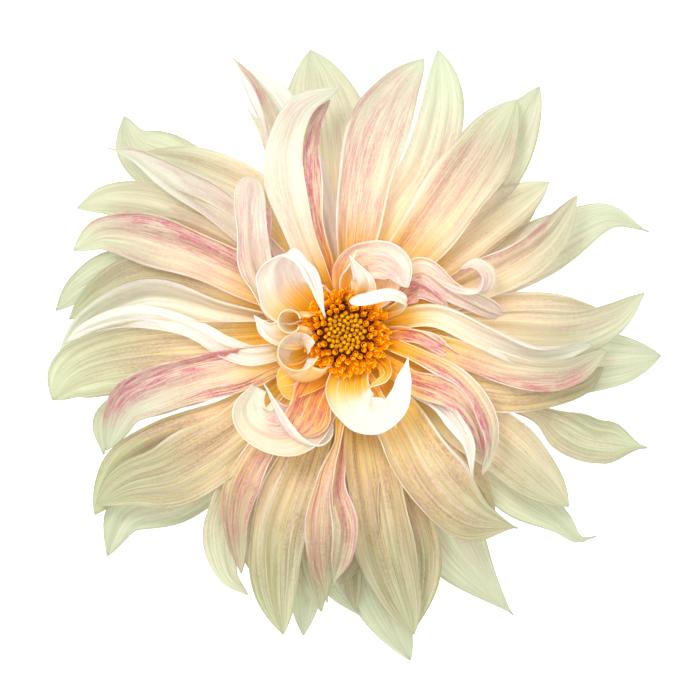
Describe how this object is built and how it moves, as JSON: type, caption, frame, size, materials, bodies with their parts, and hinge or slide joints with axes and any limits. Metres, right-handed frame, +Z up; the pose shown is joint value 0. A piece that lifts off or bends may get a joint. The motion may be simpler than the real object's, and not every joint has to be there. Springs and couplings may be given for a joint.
{
  "type": "dahlia bloom",
  "caption": "Open dahlia flower head with layered, folded and curled ray petals round a small disc, on a short cut neck, resting face up.",
  "frame": {"origin": "on the surface that the bloom rests on, under the middle of its outline", "axes": "+Z up through the open face of the bloom, +Y towards the top of the picture, +X to its right"},
  "size_m": [0.2156, 0.217, 0.0554],
  "materials": {
    "petals": null,
    "florets": null,
    "calyx": null,
    "stem": null
  },
  "bodies": {
    "root": {"ray_petals": "petals", "disc_florets": "florets", "calyx_bracts": "calyx", "stem_stub": "stem"}
  },
  "joints": []
}
